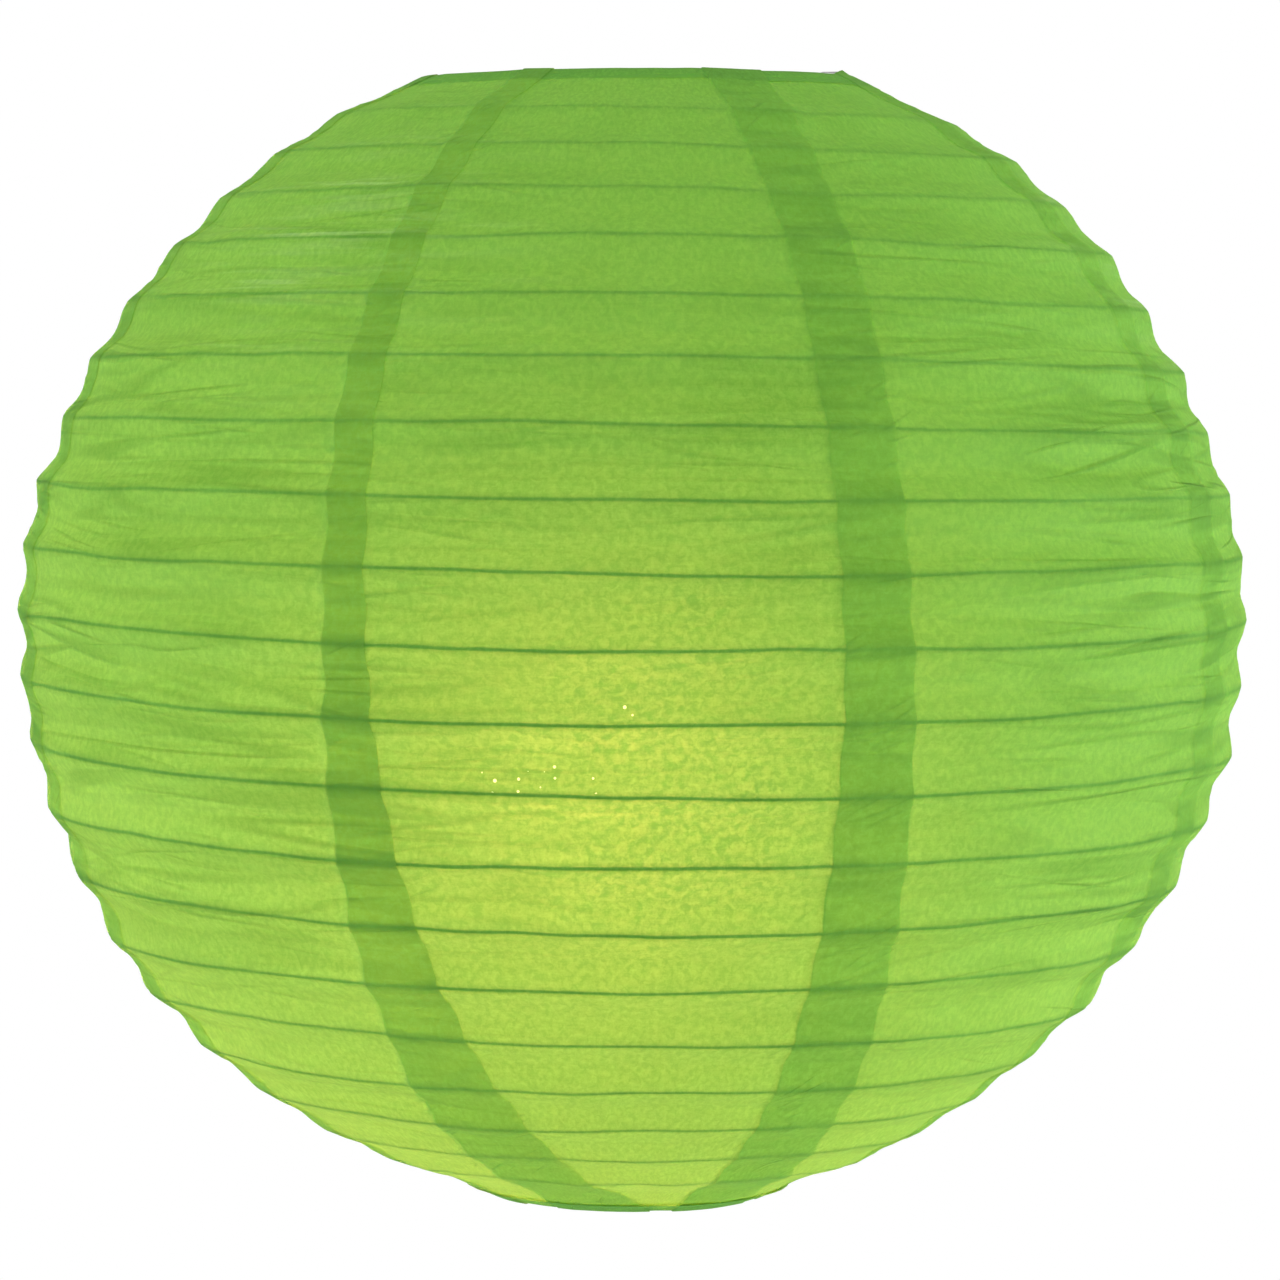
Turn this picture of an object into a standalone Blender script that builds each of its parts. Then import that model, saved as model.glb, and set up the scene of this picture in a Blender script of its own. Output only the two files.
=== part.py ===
"""Round wire-ribbed paper lantern with a wire expander and a battery lamp inside.

The origin is the underside of the expander's hanging loop, +Z is up and the lantern hangs below.
The expander's wire lies in the XZ plane. All sizes are in metres and angles in degrees.
"""
import math

import bmesh
import bpy
from mathutils import Vector

# Gaps and sheet thicknesses
GAP = 0.0003
PAPER = 0.0002
MERGE_DISTANCE = 0.00001

# Shade: a meridian made of two quarter ellipses that meet at the equator
SHADE_RADIUS = 0.200
UPPER_SHARE = 0.930
LOWER_SHARE = 0.9545
TOP_RIM_RADIUS = 0.0712
BOTTOM_RIM_RADIUS = 0.0455
RIB_WIRE = 0.0005
RIM_WIRE = 0.0008
RIB_COUNT = 20
TOP_BAND_SHARE = 1.49
BOTTOM_BAND_SHARE = 1.87
GORE_COUNT = 8
FACETS_PER_GORE = 4
LAP_ANGLE = 4.5
LAP_STEP_ANGLE = 1.5
FIRST_SEAM_ANGLE = -90.0
RIB_WIRE_SIDES = 4
RIM_WIRE_SIDES = 5

# Expander: one bent wire
EXPANDER_WIRE = 0.001
LOOP_RADIUS = 0.008
LOOP_STEPS = 20
TOP_RIM_ABOVE_LOOP = 0.006
LEG_X = 0.036
NOTCH_DEPTH = 0.003
NOTCH_REACH = 0.0045
NOTCH_LIP = 0.0022
BRIDGE_FOOT_X = 0.012
SHOULDER_X = 0.064
SHOULDER_RISE = 0.0022
LEG_BEND_DROP = 0.035
FOOT_BEND_RISE = 0.030
FOOT_TIP = 0.002
BEND_RADIUS = 0.0015

# Lamp hanger: one wire with a hook at each end
HANGER_WIRE = 0.00075
UPPER_HOOK_RADIUS = 0.00375
LOWER_HOOK_RADIUS = 0.0030
HOOK_SWEEP = 0.009
HOOK_TIP_ANGLE = -25.0
HOOK_WRAP_ANGLE = 205.0

# Battery lamp
GLOBE_BELOW_EQUATOR = 0.042
GLOBE_RADIUS = 0.028
GLOBE_WALL = 0.0012
COLLAR_HEIGHT = 0.003
HOUSING_RADIUS = 0.018
HOUSING_WALL = 0.0017
HOUSING_HEIGHT = 0.064
CAP_THICKNESS = 0.003
CAP_PLUG_DEPTH = 0.0026
EYE_RADIUS = 0.0045
EYE_WIRE = 0.0012
EYE_RISE = 0.003
EYE_STEPS = 20
EYE_WIRE_SIDES = 8
BOARD_THICKNESS = 0.0012
LED_BOARD_RISE = 0.002
CONTACT_BOARD_RISE = 0.006
CONTACT_PLATE_RADIUS = 0.013
CONTACT_PLATE_THICKNESS = 0.0006
BATTERY_COUNT = 3
BATTERY_RADIUS = 0.00525
BATTERY_LENGTH = 0.0445
BATTERY_NUB_RADIUS = 0.0019
BATTERY_NUB_LENGTH = 0.0012
BATTERY_CIRCLE = 0.0068
BATTERY_RISE = 0.0150
BATTERY_FIRST_ANGLE = 90.0
BATTERY_STEPS = 16
SPRING_WIRE = 0.0004
SPRING_RADIUS = 0.0028
SPRING_TURNS = 2.5
SPRING_STEPS_PER_TURN = 8
SPRING_TAPER = 0.3
LED_COUNT = 3
LED_RADIUS = 0.0025
LED_HEIGHT = 0.0032
LED_CIRCLE = 0.007
LED_FIRST_ANGLE = 30.0
LED_STEPS = 12
WINDOW_HALF_WIDTH = 0.012
WINDOW_HEIGHT = 0.046
WINDOW_RISE = 0.012
SLOT_WIDTH = 0.004
SLOT_HEIGHT = 0.0086
SLOT_RISE = 0.040
SLIDER_WIDTH = 0.0034
SLIDER_HEIGHT = 0.005
SLIDER_REACH = 0.0025
SLIDER_INSET = 0.001
SLIDER_BEVEL = 0.0004
ROUND_STEPS = 24

# Heights that follow from the sizes above
WIRE_EQUATOR_RADIUS = SHADE_RADIUS - PAPER - GAP - RIB_WIRE
UPPER_AXIS = UPPER_SHARE * WIRE_EQUATOR_RADIUS
LOWER_AXIS = LOWER_SHARE * WIRE_EQUATOR_RADIUS
TOP_RIM_TILT = math.acos(TOP_RIM_RADIUS / WIRE_EQUATOR_RADIUS)
BOTTOM_RIM_TILT = -math.acos(BOTTOM_RIM_RADIUS / WIRE_EQUATOR_RADIUS)
EQUATOR_Z = TOP_RIM_ABOVE_LOOP - UPPER_AXIS * math.sin(TOP_RIM_TILT)
BOTTOM_RIM_Z = EQUATOR_Z + LOWER_AXIS * math.sin(BOTTOM_RIM_TILT)
LOOP_BOTTOM_Z = EXPANDER_WIRE - 2 * LOOP_RADIUS
GLOBE_Z = EQUATOR_Z - GLOBE_BELOW_EQUATOR
NECK_RISE = math.sqrt(GLOBE_RADIUS**2 - HOUSING_RADIUS**2)
HOUSING_Z = GLOBE_Z + NECK_RISE + COLLAR_HEIGHT + GAP
HOUSING_TOP_Z = HOUSING_Z + HOUSING_HEIGHT
HOUSING_BORE = HOUSING_RADIUS - HOUSING_WALL
BOARD_RADIUS = HOUSING_BORE - GAP
CAP_Z = HOUSING_TOP_Z + GAP
EYE_Z = CAP_Z + CAP_THICKNESS + EYE_RISE
EYE_TOP_Z = EYE_Z + EYE_RADIUS


# ---------------------------------------------------------------- scene and materials

def clear_scene():
    for old in list(bpy.data.objects):
        bpy.data.objects.remove(old, do_unlink=True)


def new_collection(name):
    collection = bpy.data.collections.new(name)
    bpy.context.scene.collection.children.link(collection)
    return collection


def make_material(name, colour, roughness, metallic=0.0):
    material = bpy.data.materials.new(name)
    material.use_nodes = True
    shader = material.node_tree.nodes["Principled BSDF"]
    shader.inputs["Base Color"].default_value = (*colour, 1.0)
    shader.inputs["Roughness"].default_value = roughness
    shader.inputs["Metallic"].default_value = metallic
    return material


def file_into(obj, collection, material=None):
    for old in list(obj.users_collection):
        old.objects.unlink(obj)
    collection.objects.link(obj)
    if material is not None:
        obj.data.materials.clear()
        obj.data.materials.append(material)
    return obj


# ---------------------------------------------------------------- shared shape helpers

def mesh_object(name, bm):
    mesh = bpy.data.meshes.new(name)
    bm.to_mesh(mesh)
    bm.free()
    return bpy.data.objects.new(name, mesh)


def turned(name, profile, collection, material, steps=ROUND_STEPS):
    """A closed profile of (radius, height) points turned round Z.

    The points run down the outer side first; an edge that lies on the axis is left out.
    """
    mesh = bpy.data.meshes.new(name)
    edges = []
    for start, (start_radius, _) in enumerate(profile):
        end = (start + 1) % len(profile)
        if start_radius > 0.0 or profile[end][0] > 0.0:
            edges.append((start, end))
    mesh.from_pydata([(radius, 0.0, height) for radius, height in profile], edges, [])
    obj = bpy.data.objects.new(name, mesh)
    file_into(obj, collection, material)
    screw = obj.modifiers.new("Turn", "SCREW")
    screw.steps = steps
    screw.render_steps = steps
    screw.use_merge_vertices = True
    screw.merge_threshold = MERGE_DISTANCE
    return obj


def disc(name, radius, low_z, thickness, collection, material):
    """A flat round plate on the lamp's axis with its underside at low_z."""
    bpy.ops.mesh.primitive_cylinder_add(
        vertices=ROUND_STEPS, radius=radius, depth=thickness,
        location=(0.0, 0.0, low_z + thickness / 2))
    obj = bpy.context.object
    obj.name = name
    return file_into(obj, collection, material)


def box(name, size, centre, collection, material=None):
    bpy.ops.mesh.primitive_cube_add(size=1.0, location=centre)
    obj = bpy.context.object
    obj.name = name
    obj.scale = size
    bpy.context.view_layer.update()
    bpy.ops.object.transform_apply(location=False, rotation=False, scale=True)
    return file_into(obj, collection, material)


def cutter_box(name, size, centre, cutters):
    cutter = box(name, size, centre, cutters)
    cutter.display_type = "WIRE"
    cutter.hide_render = True
    return cutter


def cut(obj, other, operation):
    modifier = obj.modifiers.new(operation.title(), "BOOLEAN")
    modifier.operation = operation
    modifier.object = other
    modifier.solver = "EXACT"


def wire(name, points, radius, collection, material, resolution=2):
    """A round wire along a list of points, with closed ends."""
    curve = bpy.data.curves.new(name, "CURVE")
    curve.dimensions = "3D"
    curve.bevel_depth = radius
    curve.bevel_resolution = resolution
    curve.use_fill_caps = True
    spline = curve.splines.new("POLY")
    spline.points.add(len(points) - 1)
    for target, point in zip(spline.points, points):
        target.co = (*point, 1.0)
    obj = bpy.data.objects.new(name, curve)
    return file_into(obj, collection, material)


def rounded(corners, radius, steps=4):
    """Replaces each inner corner of an (x, z) line by an arc of the given radius."""
    line = [corners[0]]
    for before, corner, after in zip(corners, corners[1:], corners[2:]):
        ax, az = before[0] - corner[0], before[1] - corner[1]
        bx, bz = after[0] - corner[0], after[1] - corner[1]
        a_length = math.hypot(ax, az)
        b_length = math.hypot(bx, bz)
        ax, az, bx, bz = ax / a_length, az / a_length, bx / b_length, bz / b_length
        half_angle = math.acos(max(-1.0, min(1.0, ax * bx + az * bz))) / 2
        trim = min(radius / math.tan(half_angle), 0.45 * a_length, 0.45 * b_length)
        arc_radius = trim * math.tan(half_angle)
        middle_x, middle_z = ax + bx, az + bz
        middle = math.hypot(middle_x, middle_z)
        reach = math.hypot(trim, arc_radius)
        centre_x = corner[0] + middle_x / middle * reach
        centre_z = corner[1] + middle_z / middle * reach
        start = math.atan2(corner[1] + az * trim - centre_z, corner[0] + ax * trim - centre_x)
        end = math.atan2(corner[1] + bz * trim - centre_z, corner[0] + bx * trim - centre_x)
        sweep = (end - start + math.pi) % (2 * math.pi) - math.pi
        for step in range(steps + 1):
            angle = start + sweep * step / steps
            line.append((centre_x + arc_radius * math.cos(angle), centre_z + arc_radius * math.sin(angle)))
    line.append(corners[-1])
    return line


# ---------------------------------------------------------------- the shade's meridian

def meridian_point(tilt):
    """Radius and height of the wire centres at an angle up from the equator."""
    axis = UPPER_AXIS if tilt > 0 else LOWER_AXIS
    return WIRE_EQUATOR_RADIUS * math.cos(tilt), EQUATOR_Z + axis * math.sin(tilt)


def meridian_normal(tilt):
    axis = UPPER_AXIS if tilt > 0 else LOWER_AXIS
    out = math.cos(tilt) / WIRE_EQUATOR_RADIUS
    up = math.sin(tilt) / axis
    length = math.hypot(out, up)
    return out / length, up / length


def wire_tilts(samples=2000):
    """Angles of the top rim, the ribs and the bottom rim, evenly spaced along the paper.

    The bands at the two rims are taller than the bands between ribs.
    """
    tilts = [TOP_RIM_TILT + (BOTTOM_RIM_TILT - TOP_RIM_TILT) * i / samples for i in range(samples + 1)]
    lengths = [0.0]
    for first, second in zip(tilts, tilts[1:]):
        r1, z1 = meridian_point(first)
        r2, z2 = meridian_point(second)
        lengths.append(lengths[-1] + math.hypot(r2 - r1, z2 - z1))
    band = lengths[-1] / (RIB_COUNT - 1 + TOP_BAND_SHARE + BOTTOM_BAND_SHARE)
    targets = [0.0] + [band * (TOP_BAND_SHARE + i) for i in range(RIB_COUNT)] + [lengths[-1]]
    found = []
    cursor = 0
    for target in targets:
        while cursor < samples - 1 and lengths[cursor + 1] < target:
            cursor += 1
        share = (target - lengths[cursor]) / (lengths[cursor + 1] - lengths[cursor])
        found.append(tilts[cursor] + (tilts[cursor + 1] - tilts[cursor]) * share)
    return found


def facet_radius(radius, angle):
    """Radius at an angle on the many-sided ring whose corners lie at the given radius."""
    facet = 360.0 / (GORE_COUNT * FACETS_PER_GORE)
    from_middle = (angle - FIRST_SEAM_ANGLE) % facet - facet / 2
    return radius * math.cos(math.radians(facet / 2)) / math.cos(math.radians(from_middle))


# ---------------------------------------------------------------- shade parts

def make_ring(name, tilt, wire_radius, minor_segments, collection, material):
    radius, height = meridian_point(tilt)
    bpy.ops.mesh.primitive_torus_add(
        major_radius=radius, minor_radius=wire_radius,
        major_segments=GORE_COUNT * FACETS_PER_GORE, minor_segments=minor_segments,
        location=(0.0, 0.0, height))
    ring = bpy.context.object
    ring.name = name
    ring.data.shade_smooth()
    return file_into(ring, collection, material)


def gore_columns(start_angle):
    """(angle, lift) of each column of one gore: its panel, then the lap over the next gore."""
    facet = 360.0 / (GORE_COUNT * FACETS_PER_GORE)
    edge_gap = math.degrees(GAP / TOP_RIM_RADIUS)
    end_angle = start_angle + facet * FACETS_PER_GORE
    lap_lift = PAPER + GAP
    columns = [(start_angle + edge_gap, 0.0)]
    columns += [(start_angle + facet * i, 0.0) for i in range(1, FACETS_PER_GORE)]
    columns.append((end_angle - LAP_STEP_ANGLE, 0.0))
    columns.append((end_angle, lap_lift))
    columns.append((end_angle + LAP_ANGLE, lap_lift))
    return columns


def make_gore(number, tilts, collection, material):
    """One paper panel from rim to rim, lapped over its neighbour and just outside the wires."""
    facet_span = 360.0 / GORE_COUNT
    columns = gore_columns(FIRST_SEAM_ANGLE + facet_span * (number - 1))
    last_column = len(columns) - 1
    last_row = len(tilts) - 1
    bm = bmesh.new()
    bmesh.ops.create_grid(bm, x_segments=last_column, y_segments=last_row, size=1.0)
    for vertex in bm.verts:
        column = round((vertex.co.x + 1) / 2 * last_column)
        row = round((1 - vertex.co.y) / 2 * last_row)
        angle, lift = columns[column]
        radius, height = meridian_point(tilts[row])
        out, up = meridian_normal(tilts[row])
        wire_radius = RIM_WIRE if row in (0, last_row) else RIB_WIRE
        offset = wire_radius + GAP + lift
        reach = facet_radius(radius + out * offset, angle)
        turn = math.radians(angle)
        vertex.co = (reach * math.cos(turn), reach * math.sin(turn), height + up * offset)
    bmesh.ops.recalc_face_normals(bm, faces=bm.faces)
    middle = list(bm.faces)[len(bm.faces) // 2]
    if middle.normal.dot(middle.calc_center_median() - Vector((0.0, 0.0, EQUATOR_Z))) < 0:
        bmesh.ops.reverse_faces(bm, faces=bm.faces)
    gore = mesh_object(f"paper_gore_{number}", bm)
    file_into(gore, collection, material)
    gore.data.shade_smooth()
    skin = gore.modifiers.new("Paper", "SOLIDIFY")
    skin.thickness = PAPER
    skin.offset = 1.0
    return gore


# ---------------------------------------------------------------- expander and hanger

def expander_half():
    """(x, z) line of the right half, from under the hanging loop to the foot's end."""
    top_x, top_z = TOP_RIM_RADIUS, TOP_RIM_ABOVE_LOOP
    foot_x, foot_z = BOTTOM_RIM_RADIUS, BOTTOM_RIM_Z
    corners = [
        (0.0, LOOP_BOTTOM_Z),
        (BRIDGE_FOOT_X, LOOP_BOTTOM_Z),
        (SHOULDER_X, top_z + SHOULDER_RISE),
        (top_x - NOTCH_DEPTH + NOTCH_LIP, top_z + NOTCH_LIP),
        (top_x - NOTCH_DEPTH, top_z),
        (top_x - NOTCH_DEPTH + NOTCH_REACH, top_z - NOTCH_REACH),
        (LEG_X, top_z - LEG_BEND_DROP),
        (LEG_X, foot_z + FOOT_BEND_RISE),
        (foot_x - NOTCH_DEPTH + NOTCH_REACH, foot_z + NOTCH_REACH),
        (foot_x - NOTCH_DEPTH, foot_z),
        (foot_x - NOTCH_DEPTH + FOOT_TIP, foot_z - FOOT_TIP),
    ]
    return rounded(corners, BEND_RADIUS)


def make_expander(collection, material):
    """Left leg, bridge, one full turn for the loop, bridge, right leg."""
    strand = EXPANDER_WIRE + GAP / 2
    half = expander_half()
    points = [(-x, -strand, z) for x, z in reversed(half[1:])]
    centre_z = LOOP_BOTTOM_Z + LOOP_RADIUS
    for step in range(LOOP_STEPS + 1):
        share = step / LOOP_STEPS
        angle = -math.pi / 2 + 2 * math.pi * share
        shift = strand * (2 * share - 1)
        points.append((LOOP_RADIUS * math.cos(angle), shift, centre_z + LOOP_RADIUS * math.sin(angle)))
    points += [(x, strand, z) for x, z in half[1:]]
    return wire("expander", points, EXPANDER_WIRE, collection, material)


def hook_line(radius, hang_z, upward):
    """(side, z) line of one hook round a bar at hang_z, from the tip to the shank."""
    sign = 1.0 if upward else -1.0
    arc_steps = 9
    sweep_steps = 5
    line = []
    for step in range(arc_steps + 1):
        angle = math.radians(HOOK_TIP_ANGLE + HOOK_WRAP_ANGLE * step / arc_steps)
        line.append((radius * math.cos(angle), hang_z + sign * radius * math.sin(angle)))
    for step in range(1, sweep_steps + 1):
        share = step / sweep_steps
        side = -radius * (1 + math.cos(math.pi * share)) / 2
        line.append((side, hang_z - sign * HOOK_SWEEP * share))
    return line


def make_hanger(collection, material):
    upper = hook_line(UPPER_HOOK_RADIUS, LOOP_BOTTOM_Z, True)
    lower = hook_line(LOWER_HOOK_RADIUS, EYE_TOP_Z, False)
    points = [(0.0, side, z) for side, z in upper]
    points += [(side, 0.0, z) for side, z in reversed(lower)]
    return wire("lamp_hanger", points, HANGER_WIRE, collection, material, resolution=1)


# ---------------------------------------------------------------- lamp parts

def make_globe(collection, material):
    """Frosted globe with a short collar under the housing."""
    arc_steps = 9
    collar_top = GLOBE_Z + NECK_RISE + COLLAR_HEIGHT
    inner_radius = GLOBE_RADIUS - GLOBE_WALL
    inner_neck = HOUSING_RADIUS - GLOBE_WALL
    outer_start = math.asin(NECK_RISE / GLOBE_RADIUS)
    inner_start = math.acos(inner_neck / inner_radius)
    profile = [(HOUSING_RADIUS, collar_top)]
    for step in range(arc_steps + 1):
        tilt = outer_start + (-math.pi / 2 - outer_start) * step / arc_steps
        radius = 0.0 if step == arc_steps else GLOBE_RADIUS * math.cos(tilt)
        profile.append((radius, GLOBE_Z + GLOBE_RADIUS * math.sin(tilt)))
    for step in range(arc_steps + 1):
        tilt = -math.pi / 2 + (inner_start + math.pi / 2) * step / arc_steps
        radius = 0.0 if step == 0 else inner_radius * math.cos(tilt)
        profile.append((radius, GLOBE_Z + inner_radius * math.sin(tilt)))
    profile.append((inner_neck, collar_top))
    return turned("lamp_globe", profile, collection, material)


def tube_profile():
    return [(HOUSING_RADIUS, HOUSING_TOP_Z), (HOUSING_RADIUS, HOUSING_Z),
            (HOUSING_BORE, HOUSING_Z), (HOUSING_BORE, HOUSING_TOP_Z)]


def make_housing(collection, cutters, material):
    """Tube with a battery window at the back and a switch slot at the front."""
    housing = turned("lamp_housing", tube_profile(), collection, material)
    window = cutter_box(
        "window_cutter", (2 * WINDOW_HALF_WIDTH, HOUSING_RADIUS * 2, WINDOW_HEIGHT),
        (0.0, HOUSING_RADIUS, HOUSING_Z + WINDOW_RISE + WINDOW_HEIGHT / 2), cutters)
    slot = cutter_box(
        "slot_cutter", (SLOT_WIDTH, HOUSING_RADIUS, SLOT_HEIGHT),
        (0.0, -HOUSING_RADIUS, HOUSING_Z + SLOT_RISE), cutters)
    cut(housing, window, "DIFFERENCE")
    cut(housing, slot, "DIFFERENCE")
    return housing


def make_battery_cover(collection, cutters, material):
    """The piece of the same tube that fills the battery window."""
    cover = turned("battery_cover", tube_profile(), collection, material)
    window = cutter_box(
        "cover_keeper", (2 * (WINDOW_HALF_WIDTH - GAP), HOUSING_RADIUS * 2, WINDOW_HEIGHT - 2 * GAP),
        (0.0, HOUSING_RADIUS, HOUSING_Z + WINDOW_RISE + WINDOW_HEIGHT / 2), cutters)
    cut(cover, window, "INTERSECT")
    return cover


def make_cap(collection, cutters, material):
    """Top cap with a plug inside the tube and a moulded hanging eye."""
    plug_radius = HOUSING_BORE - GAP
    profile = [(0.0, CAP_Z + CAP_THICKNESS), (HOUSING_RADIUS, CAP_Z + CAP_THICKNESS),
               (HOUSING_RADIUS, CAP_Z), (plug_radius, CAP_Z),
               (plug_radius, CAP_Z - CAP_PLUG_DEPTH), (0.0, CAP_Z - CAP_PLUG_DEPTH)]
    cap = turned("lamp_cap", profile, collection, material)
    bpy.ops.mesh.primitive_torus_add(
        major_radius=EYE_RADIUS, minor_radius=EYE_WIRE,
        major_segments=EYE_STEPS, minor_segments=EYE_WIRE_SIDES,
        location=(0.0, 0.0, EYE_Z), rotation=(0.0, math.pi / 2, 0.0))
    eye = bpy.context.object
    eye.name = "eye_shape"
    file_into(eye, cutters)
    eye.display_type = "WIRE"
    eye.hide_render = True
    cut(cap, eye, "UNION")
    return cap


def ring_positions(count, radius, first_angle):
    angles = [math.radians(first_angle + 360.0 * i / count) for i in range(count)]
    return [(radius * math.cos(angle), radius * math.sin(angle)) for angle in angles]


def make_battery(number, centre, collection, material):
    low_z = HOUSING_Z + BATTERY_RISE
    high_z = low_z + BATTERY_LENGTH
    shoulder_z = high_z - BATTERY_NUB_LENGTH
    profile = [(0.0, high_z), (BATTERY_NUB_RADIUS, high_z), (BATTERY_NUB_RADIUS, shoulder_z),
               (BATTERY_RADIUS, shoulder_z), (BATTERY_RADIUS, low_z), (0.0, low_z)]
    battery = turned(f"battery_{number}", profile, collection, material, steps=BATTERY_STEPS)
    battery.location = (*centre, 0.0)
    return battery


def make_spring(number, centre, collection, material):
    """Contact spring between the contact board and one battery."""
    board_top = HOUSING_Z + CONTACT_BOARD_RISE + BOARD_THICKNESS
    low_z = board_top + GAP + SPRING_WIRE
    high_z = HOUSING_Z + BATTERY_RISE - GAP - SPRING_WIRE
    steps = int(SPRING_TURNS * SPRING_STEPS_PER_TURN)
    points = []
    for step in range(steps + 1):
        share = step / steps
        angle = 2 * math.pi * SPRING_TURNS * share
        radius = SPRING_RADIUS * (1 - SPRING_TAPER * share)
        points.append((centre[0] + radius * math.cos(angle), centre[1] + radius * math.sin(angle),
                       low_z + (high_z - low_z) * share))
    return wire(f"contact_spring_{number}", points, SPRING_WIRE, collection, material, resolution=1)


def make_led(number, centre, collection, material):
    """Small dome under the light board."""
    top_z = HOUSING_Z + LED_BOARD_RISE - GAP
    dome_steps = 3
    straight = LED_HEIGHT - LED_RADIUS
    profile = [(0.0, top_z), (LED_RADIUS, top_z)]
    for step in range(dome_steps + 1):
        tilt = math.pi / 2 * step / dome_steps
        radius = 0.0 if step == dome_steps else LED_RADIUS * math.cos(tilt)
        profile.append((radius, top_z - straight - LED_RADIUS * math.sin(tilt)))
    led = turned(f"led_{number}", profile, collection, material, steps=LED_STEPS)
    led.location = (*centre, 0.0)
    return led


def make_switch_slider(collection, material):
    inner_y = HOUSING_BORE - SLIDER_INSET
    outer_y = HOUSING_RADIUS + SLIDER_REACH
    slot_bottom = HOUSING_Z + SLOT_RISE - SLOT_HEIGHT / 2
    centre = (0.0, -(inner_y + outer_y) / 2, slot_bottom + GAP + SLIDER_HEIGHT / 2)
    slider = box("switch_slider", (SLIDER_WIDTH, outer_y - inner_y, SLIDER_HEIGHT), centre,
                 collection, material)
    bevel = slider.modifiers.new("Edges", "BEVEL")
    bevel.width = SLIDER_BEVEL
    bevel.segments = 1
    return slider


# ---------------------------------------------------------------- assembly

def build_shade(parts, paper, steel):
    tilts = wire_tilts()
    make_ring("top_rim", tilts[0], RIM_WIRE, RIM_WIRE_SIDES, parts, steel)
    for number in range(1, RIB_COUNT + 1):
        make_ring(f"rib_{number:02d}", tilts[number], RIB_WIRE, RIB_WIRE_SIDES, parts, steel)
    make_ring("bottom_rim", tilts[-1], RIM_WIRE, RIM_WIRE_SIDES, parts, steel)
    for number in range(1, GORE_COUNT + 1):
        make_gore(number, tilts, parts, paper)


def build_lamp(parts, cutters):
    white_plastic = make_material("lamp_plastic", (0.85, 0.85, 0.83), 0.4)
    frosted = make_material("frosted_plastic", (0.95, 0.95, 0.90), 0.6)
    board = make_material("circuit_board", (0.05, 0.25, 0.10), 0.5)
    lens = make_material("led_lens", (0.95, 0.92, 0.75), 0.2)
    cell = make_material("battery_steel", (0.45, 0.46, 0.48), 0.35, 0.8)
    contact = make_material("contact_metal", (0.75, 0.73, 0.68), 0.3, 1.0)
    make_globe(parts, frosted)
    make_housing(parts, cutters, white_plastic)
    make_battery_cover(parts, cutters, white_plastic)
    make_cap(parts, cutters, white_plastic)
    make_switch_slider(parts, white_plastic)
    disc("light_board", BOARD_RADIUS, HOUSING_Z + LED_BOARD_RISE, BOARD_THICKNESS, parts, board)
    disc("contact_board", BOARD_RADIUS, HOUSING_Z + CONTACT_BOARD_RISE, BOARD_THICKNESS, parts, board)
    plate_z = CAP_Z - CAP_PLUG_DEPTH - GAP - CONTACT_PLATE_THICKNESS
    disc("contact_plate", CONTACT_PLATE_RADIUS, plate_z, CONTACT_PLATE_THICKNESS, parts, contact)
    cells = ring_positions(BATTERY_COUNT, BATTERY_CIRCLE, BATTERY_FIRST_ANGLE)
    for number, centre in enumerate(cells, start=1):
        make_battery(number, centre, parts, cell)
        make_spring(number, centre, parts, contact)
    for number, centre in enumerate(ring_positions(LED_COUNT, LED_CIRCLE, LED_FIRST_ANGLE), start=1):
        make_led(number, centre, parts, lens)


def main():
    clear_scene()
    parts = new_collection("paper_lantern")
    cutters = new_collection("cutters")
    paper = make_material("green_paper", (0.26, 0.55, 0.09), 0.8)
    steel = make_material("rib_wire", (0.55, 0.55, 0.55), 0.4, 1.0)
    build_shade(parts, paper, steel)
    make_expander(parts, steel)
    make_hanger(parts, steel)
    build_lamp(parts, cutters)


main()
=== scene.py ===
"""Looks of the round paper lantern: fine paper, wires, lamp, light, floor and camera."""
import math

import bmesh
import bpy
import numpy as np
from mathutils import Matrix, Vector


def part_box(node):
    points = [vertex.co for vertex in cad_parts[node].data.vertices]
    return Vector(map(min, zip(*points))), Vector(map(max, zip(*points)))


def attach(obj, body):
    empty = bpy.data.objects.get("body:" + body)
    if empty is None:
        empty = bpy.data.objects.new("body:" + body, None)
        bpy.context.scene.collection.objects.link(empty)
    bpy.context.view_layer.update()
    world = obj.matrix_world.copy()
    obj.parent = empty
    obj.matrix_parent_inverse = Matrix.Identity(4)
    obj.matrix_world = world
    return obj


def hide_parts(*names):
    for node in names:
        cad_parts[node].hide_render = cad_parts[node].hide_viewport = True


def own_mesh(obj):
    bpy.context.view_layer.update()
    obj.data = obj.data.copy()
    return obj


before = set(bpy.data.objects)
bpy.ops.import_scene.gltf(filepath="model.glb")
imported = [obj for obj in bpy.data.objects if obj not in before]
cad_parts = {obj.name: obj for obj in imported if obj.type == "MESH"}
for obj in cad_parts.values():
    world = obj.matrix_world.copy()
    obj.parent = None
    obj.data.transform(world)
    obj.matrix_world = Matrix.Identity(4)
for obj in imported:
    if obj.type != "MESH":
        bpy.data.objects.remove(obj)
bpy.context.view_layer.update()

# ---------------------------------------------------------------- sizes read from the frame

PAPER_OFFSET = 0.0003
LAYER = 0.0003
RIB_COUNT = 20
GORE_COUNT = 8
FIRST_SEAM = -90.0
VIEW_ANGLE = -66.0


def ring_size(node, wire):
    """(radius, height) of a ring's wire centre, from its CAD box."""
    low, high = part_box(node)
    return (high[0] - low[0]) / 2 - wire, (high[2] + low[2]) / 2


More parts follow.
